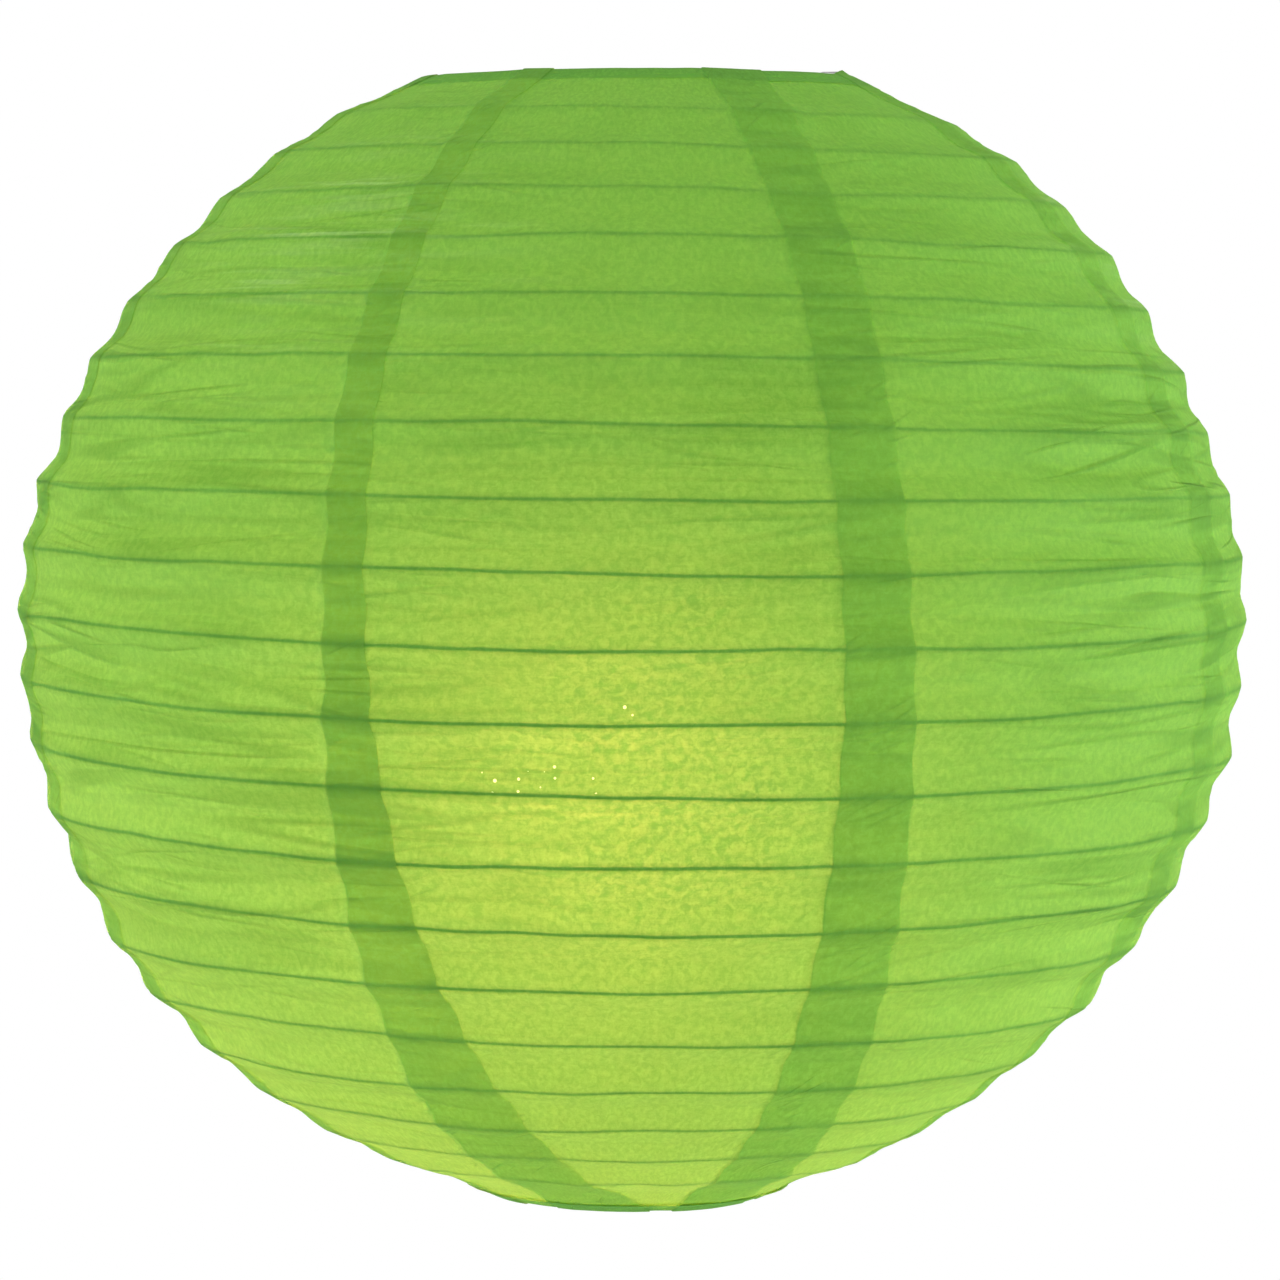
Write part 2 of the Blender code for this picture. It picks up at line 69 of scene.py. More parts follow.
RIB_WIRE = (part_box("rib_10")[1][2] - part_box("rib_10")[0][2]) / 2
RIM_WIRE = 0.0008
RING_NODES = ["top_rim"] + [f"rib_{i:02d}" for i in range(1, RIB_COUNT + 1)] + ["bottom_rim"]
RING_WIRES = np.array([RIM_WIRE] + [RIB_WIRE] * RIB_COUNT + [RIM_WIRE])
RING_SIZES = [ring_size(node, wire) for node, wire in zip(RING_NODES, RING_WIRES)]
RING_RADII = np.array([size[0] for size in RING_SIZES])
RING_HEIGHTS = np.array([size[1] for size in RING_SIZES])
BAND_COUNT = len(RING_NODES) - 1
BOTTOM_Z = RING_HEIGHTS[-1]
EQUATOR_RADIUS = RING_RADII.max()
EQUATOR_Z = RING_HEIGHTS[int(RING_RADII.argmax())]


# ---------------------------------------------------------------- noise and smooth steps

def smooth_step(x):
    x = np.clip(x, 0.0, 1.0)
    return x * x * (3 - 2 * x)


NOISE_TABLES = {}


def noise_table(seed):
    """The lattice of one seed, made once."""
    if seed not in NOISE_TABLES:
        NOISE_TABLES[seed] = np.random.RandomState(seed).rand(512, 512)
    return NOISE_TABLES[seed]


def noise(u, v, seed, period=None):
    """Smooth random values from 0 to 1 on a unit lattice, repeating after period cells along u."""
    table = noise_table(seed)
    u0 = np.floor(u).astype(int)
    v0 = np.floor(v).astype(int)
    fu = smooth_step(u - u0)
    fv = smooth_step(v - v0)
    wrap = period if period else 512
    a = table[u0 % wrap % 512, v0 % 512]
    b = table[(u0 + 1) % wrap % 512, v0 % 512]
    c = table[u0 % wrap % 512, (v0 + 1) % 512]
    d = table[(u0 + 1) % wrap % 512, (v0 + 1) % 512]
    return (a * (1 - fu) + b * fu) * (1 - fv) + (c * (1 - fu) + d * fu) * fv


def around(angle, cells):
    """An angle in degrees as a lattice coordinate that repeats after a whole turn."""
    return (angle % 360.0) / 360.0 * cells


def away_from(angle, centre):
    """Signed degrees from a centre to an angle, the short way round."""
    return (angle - centre + 180.0) % 360.0 - 180.0


def soft_interp(row, rows, values):
    """Smooth curve through a few values, straight in its end slopes."""
    from_left = np.interp(row - 0.9, rows, values)
    middle = np.interp(row, rows, values)
    from_right = np.interp(row + 0.9, rows, values)
    return 0.25 * from_left + 0.5 * middle + 0.25 * from_right


# ---------------------------------------------------------------- the paper's surface

BAND_LENGTHS = np.hypot(np.diff(RING_RADII), np.diff(RING_HEIGHTS))
RING_ARCS = np.concatenate([[0.0], np.cumsum(BAND_LENGTHS)])
RING_ROWS = np.arange(BAND_COUNT + 1)
SAG_SHARE = 0.105
CUSP_SHARE = 0.22
SAG_ROWS = [0.5, 1.5, 3.5, 5.5, 15.0, 17.0, 18.5, 20.5]
SAG_BY_ROW = [0.25, 0.55, 0.75, 1.0, 1.0, 0.70, 0.50, 0.35]
WOBBLE_RADIUS = 0.0007
WOBBLE_HEIGHT = 0.0008
RIPPLE_HEIGHT = 0.0009
RIM_WOBBLE_SHARE = 0.35
KNOB_ANGLE = VIEW_ANGLE - 92.0
KNOB_HEIGHT = 0.0011
KNOB_WIDTH = 2.2


def ring_normals():
    """Outward meridian normals (out, up) at the rings, from the neighbouring rings."""
    tangent_r = np.gradient(RING_RADII, RING_ARCS)
    tangent_z = np.gradient(RING_HEIGHTS, RING_ARCS)
    length = np.hypot(tangent_r, tangent_z)
    return -tangent_z / length, tangent_r / length


NORMAL_OUT, NORMAL_UP = ring_normals()


def row_at(arc):
    """The row (ring number plus share of the band below) at a length down the paper."""
    return np.interp(arc, RING_ARCS, RING_ROWS)


def radius_at(row):
    return np.interp(row, RING_ROWS, RING_RADII)


# At both sides of the view the rings rise and fall in one slow wave down the shade, draw in at
# the shoulder and near the foot, and lean right near the top and left near the foot.
SIDE_WAVE = 0.003
SIDE_WAVE_MIDDLE = 8.5
SIDE_WAVE_RINGS = 16.0
SHOULDER_RING = 7.0
SHOULDER_RINGS = 3.0
SHOULDER_PINCH = 0.002
FOOT_RING = 19.0
FOOT_RINGS = 2.0
FOOT_PINCH = 0.004
TOP_LEAN = 0.0025
TOP_LEAN_RING = 2.0
FOOT_LEAN = 0.003
FOOT_LEAN_RING = 17.0
LEAN_RINGS = 3.0
TOP_RIM_TILT = 0.0009
BOTTOM_RIM_DROP = 0.0018


def hump(ring, middle, width):
    """One at the middle ring, falling to nothing a few rings away."""
    return np.exp(-((ring - middle) / width) ** 2)


def ring_wobble(ring, angle):
    """How far a ring's wire strays outward and upward at an angle, in metres."""
    rng = np.random.RandomState(100)
    phase = rng.rand(BAND_COUNT + 1, 6) * 2 * math.pi
    size = 0.5 + rng.rand(BAND_COUNT + 1, 2)
    knob_shift = rng.randn(BAND_COUNT + 1) * 2.0
    turn = np.radians(angle)
    out = (0.55 * np.sin(2 * turn + phase[ring, 0]) + 0.3 * np.sin(3 * turn + phase[ring, 1])
           + 0.2 * np.sin(7 * turn + phase[ring, 2])) * WOBBLE_RADIUS * size[ring, 0]
    ripple = (noise(around(angle, 34), ring * 1.7, 51, 34)
              + 0.5 * noise(around(angle, 75), ring * 1.3, 52, 75) - 0.75)
    up = (0.5 * np.sin(turn + phase[ring, 3]) + 0.4 * np.sin(2 * turn + phase[ring, 4])
          + 0.3 * np.sin(5 * turn + phase[ring, 5])) * WOBBLE_HEIGHT * size[ring, 1]
    rim = (ring == 0) | (ring == BAND_COUNT)
    share = np.where(rim, RIM_WOBBLE_SHARE, 1.0)
    away = (angle - KNOB_ANGLE - knob_shift[ring] + 180.0) % 360.0 - 180.0
    knob = np.where(rim, 0.0, KNOB_HEIGHT) * np.exp(-(away / KNOB_WIDTH) ** 2)
    to_right = np.sin(np.radians(angle - VIEW_ANGLE))
    side = np.where(rim, 0.0, to_right ** 2)
    wave = np.sin(2 * math.pi * (ring - SIDE_WAVE_MIDDLE) / SIDE_WAVE_RINGS)
    rise = SIDE_WAVE * wave * np.sin(math.pi * ring / BAND_COUNT) * side
    pinch = (SHOULDER_PINCH * hump(ring, SHOULDER_RING, SHOULDER_RINGS)
             + FOOT_PINCH * hump(ring, FOOT_RING, FOOT_RINGS))
    spread = -pinch * side
    lean = (TOP_LEAN * hump(ring, TOP_LEAN_RING, LEAN_RINGS)
            - FOOT_LEAN * hump(ring, FOOT_LEAN_RING, LEAN_RINGS))
    lean = np.where(rim, 0.0, lean) * to_right
    tilt = (np.where(ring == 0, TOP_RIM_TILT * to_right, 0.0)
            - np.where(ring == BAND_COUNT, BOTTOM_RIM_DROP, 0.0))
    return out * share + knob + spread + lean, (up + RIPPLE_HEIGHT * ripple) * share + rise + tilt


FOLD_HEIGHT = 0.00062
RIDGE_HEIGHT = 0.00070
GRAIN_HEIGHT = 0.00025


def crinkle(angle, arc, share):
    """Height of the paper's creases, which run nearly level and fade out at the ribs."""
    along = around(angle, 26)
    slant = 0.0020 * np.sin(np.radians(angle) * 3 + arc * 60)
    fine = noise(along, (arc + slant) / 0.0042, 11, 26)
    fold = 1 - np.abs(2 * fine - 1)
    sharp = noise(around(angle, 17), (arc - slant) / 0.0065, 12, 17)
    ridge = 1 - np.abs(2 * sharp - 1)
    where = smooth_step((noise(around(angle, 9), arc / 0.035, 13, 9) - 0.25) * 2.2)
    small = noise(around(angle, 160), arc / 0.008, 14, 160) - 0.5
    fade = smooth_step(4.0 * share * (1 - share))
    level = ((fold ** 2 - 0.35) * FOLD_HEIGHT * where
             + (ridge ** 3 - 0.25) * RIDGE_HEIGHT * (1 - 0.5 * where))
    return (level * (0.35 + 0.65 * crease_amount(angle, arc)) + small * GRAIN_HEIGHT) * fade


CREASE_ROWS = [0.0, 3.0, 6.0, 13.0, 16.0, 21.0]
CREASE_BY_ROW = [0.15, 0.45, 1.0, 1.0, 0.45, 0.2]


def crease_amount(angle, arc):
    """Where the paper is most creased: in patches round the shade and around the waist, less at the
    middle of the front, least near the bottom.
    """
    row = row_at(arc)
    by_row = soft_interp(row, CREASE_ROWS, CREASE_BY_ROW)
    patches = noise(around(angle - VIEW_ANGLE - 6.0, 16), arc / 0.09, 41, 16)
    by_angle = 0.30 + 0.70 * smooth_step(1.4 * patches)
    front = away_from(angle, VIEW_ANGLE)
    calm = np.exp(-((front + 2.0) / 16.0) ** 2)
    return by_row * by_angle * (1 - 0.65 * calm)


PATCH_ROW = 11.78
SPOT_ROW = 10.78


def pinhole_amount(angle, arc):
    """One small worn place with pinholes on the front, and a smaller one above it."""
    row = row_at(arc)
    front = away_from(angle, VIEW_ANGLE)
    low_patch = np.exp(-((front + 8.0) / 6.0) ** 4 - ((row - PATCH_ROW) / 0.20) ** 4)
    high_spot = np.exp(-(front / 1.6) ** 4 - ((row - SPOT_ROW) / 0.16) ** 4)
    return np.maximum(low_patch, high_spot)


SEAM_FADE = 0.009


def seam_amount(angle, arc):
    """One on the glued laps, fading out over a centimetre beside them."""
    row = row_at(arc)
    radius = radius_at(row)
    nearest = np.full(np.shape(angle), 1e3)
    for seam in range(GORE_COUNT):
        half = lap_angle(seam, row) / 2
        away = np.abs((angle - seam_angle(seam, row) - half + 180.0) % 360.0 - 180.0) - half
        nearest = np.minimum(nearest, away)
    return np.exp(-(np.maximum(np.radians(nearest) * radius, 0.0) / SEAM_FADE) ** 2)


# Where the pale streaks of painted highlight lie: their angles, width and rows.
HIGHLIGHT_ANGLES = (-104.0, 20.0, 96.0, 201.0)
HIGHLIGHT_WIDTH = 20.0
HIGHLIGHT_ROW = 3.8
HIGHLIGHT_ROWS = 2.0


def highlight_streak_amount(angle, arc):
    """Painted highlights: pale streaks in a few upper places, brightest just above the ribs."""
    row = row_at(arc)
    by_row = np.exp(-((row - HIGHLIGHT_ROW) / HIGHLIGHT_ROWS) ** 2)
    patches = np.zeros(np.shape(angle))
    for centre in HIGHLIGHT_ANGLES:
        away = away_from(angle, centre)
        patches = np.maximum(patches, np.exp(-(away / HIGHLIGHT_WIDTH) ** 2))
    above_rib = np.exp(-(((row % 1.0) - 0.84) / 0.16) ** 2)
    return by_row * patches * (0.35 + 0.65 * above_rib)


def paper_points(angle, row, lift):
    """Points of the paper at angles (degrees) and rows (ring number plus share of the band below)."""
    band = np.minimum(np.floor(row).astype(int), BAND_COUNT - 1)
    share = row - band
    ends = []
    for ring in (band, band + 1):
        out, up = ring_wobble(ring, angle)
        offset = RING_WIRES[ring] + PAPER_OFFSET
        radius = RING_RADII[ring] + out + NORMAL_OUT[ring] * offset
        height = RING_HEIGHTS[ring] + up + NORMAL_UP[ring] * offset
        ends.append((radius, height))
    (r0, z0), (r1, z1) = ends
    radius = r0 + (r1 - r0) * share
    height = z0 + (z1 - z0) * share
    length = np.hypot(r1 - r0, z1 - z0)
    out = -(z1 - z0) / length
    up = (r1 - r0) / length
    slack = 0.72 + 0.56 * noise(around(angle, 13) + band * 3.7, band + 0.0, 21)
    lean = share + 0.10 * (noise(around(angle, 11), band * 1.3, 22, 11) - 0.5) * np.sin(math.pi * share)
    hollow = CUSP_SHARE * 4 * lean * (1 - lean) + (1 - CUSP_SHARE) * np.sin(math.pi * lean) ** 2
    sag = SAG_SHARE * np.interp(band + 0.5, SAG_ROWS, SAG_BY_ROW) * length * slack * hollow
    arc = RING_ARCS[band] + BAND_LENGTHS[band] * share
    move = crinkle(angle, arc, share) + seam_pucker(angle, arc, share) - sag + lift
    radius = radius + out * move
    height = height + up * move
    turn = np.radians(angle)
    return np.stack([radius * np.cos(turn), radius * np.sin(turn), height], axis=-1)


# ---------------------------------------------------------------- seams

# How far each seam strays from its even place, in degrees, and how wide its lap is, in metres:
# at the top rim, at the waist and near the foot.
SEAM_ROWS = [0.0, 10.0, 18.0]
SEAM_STRAY = {
    0: (-6.0, -3.0, -4.0),
    1: (-5.0, -3.0, -2.0),
    2: (-4.0, -3.0, 0.0),
    3: (2.0, -1.0, 2.0),
    4: (-2.0, 1.0, 1.0),
    5: (1.0, -2.0, 1.0),
    6: (-1.0, 2.0, -1.0),
    7: (-7.0, -9.0, -7.0),
}
LAP_WIDTHS = {
    0: (0.010, 0.014, 0.030),
    1: (0.020, 0.022, 0.028),
    2: (0.015, 0.020, 0.023),
    3: (0.015, 0.018, 0.025),
    4: (0.012, 0.014, 0.026),
    5: (0.017, 0.020, 0.026),
    6: (0.012, 0.014, 0.025),
    7: (0.014, 0.018, 0.025),
}


# How far each seam's lap takes the clearer look that keeps two layers from going too dark.
LAP_LIGHT = [0.95, 0.65, 0.80, 0.70, 0.90, 0.70, 0.85, 0.70]
PUCKER_HEIGHT = 0.00045
PUCKER_FADE = 0.013


def seam_angle(seam, row):
    """Where a gore's edge runs at a row, in degrees."""
    even = FIRST_SEAM + 360.0 / GORE_COUNT * seam
    return even + soft_interp(np.clip(row, 0, BAND_COUNT), SEAM_ROWS, SEAM_STRAY[seam % GORE_COUNT])


def lap_angle(seam, row):
    """The lap's width at a row, in degrees."""
    row = np.clip(row, 0, BAND_COUNT)
    width = soft_interp(row, SEAM_ROWS, LAP_WIDTHS[seam % GORE_COUNT])
    radius = radius_at(row)
    return np.degrees(width / radius)


def seam_pucker(angle, arc, share):
    """Slanting creases beside the glued laps."""
    row = row_at(arc)
    radius = radius_at(row)
    nearest = np.full(np.shape(angle), 1e3)
    for seam in range(GORE_COUNT):
        middle = seam_angle(seam, row) + lap_angle(seam, row) / 2
        away = away_from(angle, middle)
        nearest = np.where(np.abs(away) < np.abs(nearest), away, nearest)
    distance = np.radians(nearest) * radius
    slant = noise(around(angle, 70) + arc / 0.03, arc / 0.007 - distance / 0.012, 31)
    fold = 1 - np.abs(2 * slant - 1)
    fade = smooth_step(4.0 * share * (1 - share))
    return (fold ** 2 - 0.3) * PUCKER_HEIGHT * np.exp(-(distance / PUCKER_FADE) ** 2) * fade


# ---------------------------------------------------------------- mesh helpers

def new_mesh_object(name, vertices, faces):
    mesh = bpy.data.meshes.new(name)
    mesh.from_pydata([tuple(v) for v in vertices], [], faces)
    mesh.shade_smooth()
    obj = bpy.data.objects.new(name, mesh)
    bpy.context.scene.collection.objects.link(obj)
    return obj


def grid_faces(rows, columns, wrap=False):
    faces = []
    last = columns if wrap else columns - 1
    for i in range(rows - 1):
        for j in range(last):
            k = (j + 1) % columns
            faces.append((i * columns + j, (i + 1) * columns + j, (i + 1) * columns + k, i * columns + k))
    return faces


def set_values(mesh, name, values):
    attribute = mesh.attributes.new(name, "FLOAT", "POINT")
    attribute.data.foreach_set("value", np.asarray(values, np.float32).ravel())


def set_uv(mesh, u, v):
    layer = mesh.uv_layers.new(name="Paper")
    index = np.zeros(len(mesh.loops), int)
    mesh.loops.foreach_get("vertex_index", index)
    uv = np.stack([np.asarray(u).ravel()[index], np.asarray(v).ravel()[index]], axis=1)
    layer.data.foreach_set("uv", uv.astype(np.float32).ravel())


def tube_mesh(name, path, radius, sides=12, closed=False):
    """A round wire along points, with flat ends unless it is closed."""
    path = np.asarray(path, float)
    count = len(path)
    if closed:
        tangent = np.roll(path, -1, 0) - np.roll(path, 1, 0)
    else:
        tangent = np.gradient(path, axis=0)
    tangent /= np.linalg.norm(tangent, axis=1)[:, None]
    normal = np.zeros_like(path)
    start = np.array([0.0, 0.0, 1.0]) if abs(tangent[0][2]) < 0.9 else np.array([1.0, 0.0, 0.0])
    normal[0] = start - tangent[0] * start.dot(tangent[0])
    normal[0] /= np.linalg.norm(normal[0])
    for i in range(1, count):
        carried = normal[i - 1] - tangent[i] * normal[i - 1].dot(tangent[i])
        normal[i] = carried / np.linalg.norm(carried)
    side = np.cross(tangent, normal)
    turn = 2 * math.pi * np.arange(sides) / sides
    radii = np.broadcast_to(np.asarray(radius, float), (count,))
    rings = (path[:, None, :]
             + radii[:, None, None] * (np.cos(turn)[None, :, None] * normal[:, None, :]
                                       + np.sin(turn)[None, :, None] * side[:, None, :]))
    faces = grid_faces(count, sides, wrap=True)
    faces = [tuple(reversed(face)) for face in faces]
    if closed:
        last = (count - 1) * sides
        for j in range(sides):
            k = (j + 1) % sides
            faces.append((last + j, last + k, k, j))
    else:
        faces.append(tuple(range(sides)))
        faces.append(tuple((count - 1) * sides + j for j in reversed(range(sides))))
    return new_mesh_object(name, rings.reshape(-1, 3), faces)


# ---------------------------------------------------------------- node helpers

class Nodes:
    """Short ways to make and link shader nodes."""

    def __init__(self, name):
        self.material = bpy.data.materials.new(name)
        self.material.use_nodes = True
        self.tree = self.material.node_tree
        self.tree.nodes.clear()
        self.output = self.add("OutputMaterial")

    def add(self, kind, **settings):
        node = self.tree.nodes.new("ShaderNode" + kind)
        for key, value in settings.items():
            setattr(node, key, value)
        return node

    def link(self, source, target):
        self.tree.links.new(source, target)

    def put(self, node, **inputs):
        for key, value in inputs.items():
            socket = node.inputs[key.replace("_", " ")]
            if isinstance(value, bpy.types.NodeSocket):
                self.link(value, socket)
            else:
                socket.default_value = value
        return node

    def noise(self, vector, scale, detail=3.0, roughness=0.5, distortion=0.0):
        node = self.add("TexNoise")
        self.put(node, Vector=vector, Scale=scale, Detail=detail, Roughness=roughness,
                 Distortion=distortion)
        return node.outputs["Fac"]

    def stretch(self, vector, scale):
        node = self.add("Mapping")
        self.put(node, Vector=vector, Scale=scale)
        return node.outputs["Vector"]

    def turn(self, vector, angle):
        node = self.add("Mapping")
        self.put(node, Vector=vector, Rotation=(0.0, 0.0, angle))
        return node.outputs["Vector"]

    def line(self, vector, detail, distortion, width):
        """Thin soft lines where a noise crosses its middle."""
        level = self.noise(vector, 1.0, detail, 0.5, distortion)
        level = self.math("ABSOLUTE", self.remap(level, 0.25, 0.75, -1.0, 1.0))
        return self.remap(level, 0.0, width, 1.0, 0.0, True)

    def math(self, operation, a, b=0.0):
        node = self.add("Math", operation=operation)
        for socket, value in zip(node.inputs, (a, b)):
            if isinstance(value, bpy.types.NodeSocket):
                self.link(value, socket)
            else:
                socket.default_value = value
        return node.outputs["Value"]

    def remap(self, value, low, high, new_low, new_high, smooth=False):
        node = self.add("MapRange")
        if smooth:
            node.interpolation_type = "SMOOTHSTEP"
        self.put(node, Value=value, From_Min=low, From_Max=high, To_Min=new_low, To_Max=new_high)
        return node.outputs["Result"]

    def mix(self, share, a, b, blend="MIX"):
        node = self.add("Mix", data_type="RGBA", blend_type=blend)
        for index, value in ((0, share), (6, a), (7, b)):
            socket = node.inputs[index]
            if isinstance(value, bpy.types.NodeSocket):
                self.link(value, socket)
            else:
                socket.default_value = value
        return node.outputs[2]

    def bump(self, height, strength, distance, normal=None):
        node = self.add("Bump")
        self.put(node, Height=height, Strength=strength, Distance=distance)
        if normal is not None:
            self.link(normal, node.inputs["Normal"])
        return node.outputs["Normal"]

    def finished(self, surface):
        """The material, with this surface as its output."""
        self.link(surface.outputs["BSDF"], self.output.inputs["Surface"])
        return self.material


# ---------------------------------------------------------------- materials

# The share of light that passes through the paper, the share of that which keeps some of its
# direction, and the lamp's and the LEDs' emission.
THROUGH_SHARE = 0.50
BEAM_SHARE = 0.26
LAMP_STRENGTH = 31.0
LAMP_COLOUR = (1.0, 0.62, 0.30, 1.0)
LED_STRENGTH = 12.0


def paper_material():
    """Dyed rice paper: fibres, cloudy thickness, level creases with painted shade along them, wrinkle
    bands painted lighter and darker as their shading, pale streaks of painted highlight, and glue lines
    at the ribs darkened further by a painted shadow of the wires.
    """
    n = Nodes("green_rice_paper")
    uv = n.add("UVMap", uv_map="Paper").outputs["UV"]
    rib = n.add("Attribute", attribute_name="glue_and_wire_shadow_line").outputs["Fac"]
    lap = n.add("Attribute", attribute_name="lap").outputs["Fac"]
    creased = n.add("Attribute", attribute_name="creased").outputs["Fac"]
    highlight_streaks = n.add("Attribute", attribute_name="highlight_streaks").outputs["Fac"]
    pinholes = n.add("Attribute", attribute_name="pinholes").outputs["Fac"]
    near_seam = n.add("Attribute", attribute_name="near_seam").outputs["Fac"]

    cloud = n.noise(uv, 38.0, 4.0, 0.6)
    mottle = n.noise(uv, 400.0, 2.0, 0.55, 0.5)
    grain = n.noise(uv, 1500.0, 2.0, 0.6)
    fibre_long = n.noise(n.stretch(uv, (180.0, 1500.0, 1.0)), 1.0, 3.0, 0.7, 1.2)
    fibre_cross = n.noise(n.stretch(uv, (1100.0, 260.0, 1.0)), 1.0, 2.0, 0.6, 1.5)
    fibres = n.math("MULTIPLY", n.remap(fibre_long, 0.35, 0.65, 0.0, 1.0),
                    n.remap(fibre_cross, 0.3, 0.7, 0.4, 1.0))

    # Crease lines: they bump the surface, and they darken the colour as painted shade in the creases.
    long_line = n.line(n.stretch(uv, (4.5, 72.0, 1.0)), 1.3, 0.4, 0.26)
    down_line = n.line(n.stretch(n.turn(uv, 0.085), (7.0, 98.0, 1.0)), 1.0, 0.3, 0.30)
    up_line = n.line(n.stretch(n.turn(uv, -0.075), (8.0, 110.0, 1.0)), 1.0, 0.3, 0.30)
    patch = n.remap(n.noise(n.stretch(uv, (8.0, 24.0, 1.0)), 1.0, 2.0, 0.5), 0.36, 0.60, 0.1, 1.0)
    other_patch = n.noise(n.stretch(uv, (7.0, 31.0, 1.0)), 1.3, 2.0, 0.5)
    other_patch = n.remap(other_patch, 0.42, 0.62, 0.0, 1.0)
    third_patch = n.noise(n.stretch(uv, (9.0, 27.0, 1.0)), 1.6, 2.0, 0.5)
    third_patch = n.remap(third_patch, 0.44, 0.64, 0.0, 1.0)
    crease_and_shade = n.math("MULTIPLY", long_line, patch)
    crease_and_shade = n.math("MAXIMUM", crease_and_shade, n.math("MULTIPLY", down_line, other_patch))
    crease_and_shade = n.math("MAXIMUM", crease_and_shade, n.math("MULTIPLY", up_line, third_patch))
    crease_and_shade = n.math("MULTIPLY", crease_and_shade, creased)
    puckers = n.line(n.stretch(n.turn(uv, 0.45), (26.0, 170.0, 1.0)), 0.0, 0.2, 0.30)
    pucker_patch = n.remap(n.noise(uv, 45.0, 2.0), 0.50, 0.66, 0.0, 0.45)
    seam_crease = n.math("MULTIPLY", n.math("MULTIPLY", puckers, pucker_patch), near_seam)
    crease_and_shade = n.math("MAXIMUM", crease_and_shade, seam_crease)
    # Wrinkle bands: they bump the surface, and where the paper is creased they make the colour lighter
    # and darker as painted shading of the wrinkles.
    band = n.remap(n.noise(n.stretch(uv, (5.0, 95.0, 1.0)), 1.0, 2.5, 0.6, 0.4), 0.3, 0.7, -1.0, 1.0)
    lap_band = n.noise(n.stretch(uv, (26.0, 190.0, 1.0)), 1.0, 2.0, 0.6, 0.5)
    lap_band = n.remap(lap_band, 0.42, 0.64, 0.0, 1.0)
    lap_band = n.math("MULTIPLY", lap_band, lap)
    # Pale streaks: a painted highlight in the upper paper, just above the ribs.
    painted_highlight = n.noise(n.stretch(uv, (13.0, 330.0, 1.0)), 1.0, 3.0, 0.6, 0.3)
    painted_highlight = n.remap(painted_highlight, 0.50, 0.64, 0.0, 1.0)
    painted_highlight = n.math("MULTIPLY", painted_highlight, highlight_streaks)

    thin = n.math("ADD", n.math("MULTIPLY", n.remap(mottle, 0.3, 0.7, 0.0, 1.0), 0.5),
                  n.math("MULTIPLY", n.remap(grain, 0.3, 0.7, 0.0, 1.0), 0.25))
    thin = n.math("ADD", thin, n.math("MULTIPLY", fibres, 0.25))
    shade = n.math("ADD", n.math("MULTIPLY", n.remap(cloud, 0.3, 0.7, -1.0, 1.0), 0.3),
                   n.math("MULTIPLY", n.math("MULTIPLY", band, creased), 0.75))
    shade = n.math("ADD", shade, n.math("MULTIPLY", n.remap(mottle, 0.3, 0.7, -1.0, 1.0), 0.04))
    shade = n.remap(shade, -1.0, 1.0, 0.0, 1.0)
    body = n.mix(shade, (0.198, 0.585, 0.078, 1.0), (0.296, 0.765, 0.124, 1.0))
    # Painted shade: the colour darkens along the crease lines.
    body = n.mix(n.math("MULTIPLY", crease_and_shade, 0.62), body, (0.125, 0.41, 0.045, 1.0))
    # Painted highlight: the colour turns pale along the streaks.
    body = n.mix(n.math("MULTIPLY", painted_highlight, 0.80), body, (0.56, 0.90, 0.38, 1.0))
    body = n.mix(n.math("MULTIPLY", lap, 0.30), body, (0.300, 0.60, 0.080, 1.0))
    body = n.mix(n.math("MULTIPLY", lap_band, 0.30), body, (0.125, 0.41, 0.045, 1.0))
    # Dark line at each rib: partly the glue, partly a painted shadow of the wire.
    glue_and_wire_shadow = n.math("MULTIPLY", rib, n.remap(n.noise(uv, 90.0, 3.0), 0.3, 0.7, 0.65, 1.0))
    body = n.mix(glue_and_wire_shadow, body, (0.095, 0.36, 0.030, 1.0))

    thin = n.remap(thin, 0.26, 0.74, 0.0, 1.0)
    even = n.remap(mottle, 0.25, 0.75, 0.43, 0.61)
    through = n.mix(even, (0.30, 0.50, 0.090, 1.0), (0.72, 0.88, 0.25, 1.0))
    clear = n.mix(thin, (0.16, 0.32, 0.05, 1.0), (0.94, 1.0, 0.36, 1.0))
    through = n.mix(lap, through, n.mix(thin, (0.92, 0.88, 0.30, 1.0), (1.0, 1.0, 0.46, 1.0)))
    clear = n.mix(lap, clear, n.mix(thin, (0.84, 0.80, 0.28, 1.0), (1.0, 1.0, 0.50, 1.0)))
    through = n.mix(n.math("MULTIPLY", lap_band, 0.28), through, (0.22, 0.40, 0.06, 1.0))
    # Painted shade: the crease lines darken the light passing through as well.
    through = n.mix(n.math("MULTIPLY", crease_and_shade, 0.50), through, (0.22, 0.40, 0.06, 1.0))
    clear = n.mix(n.math("MULTIPLY", crease_and_shade, 0.40), clear, (0.22, 0.40, 0.06, 1.0))
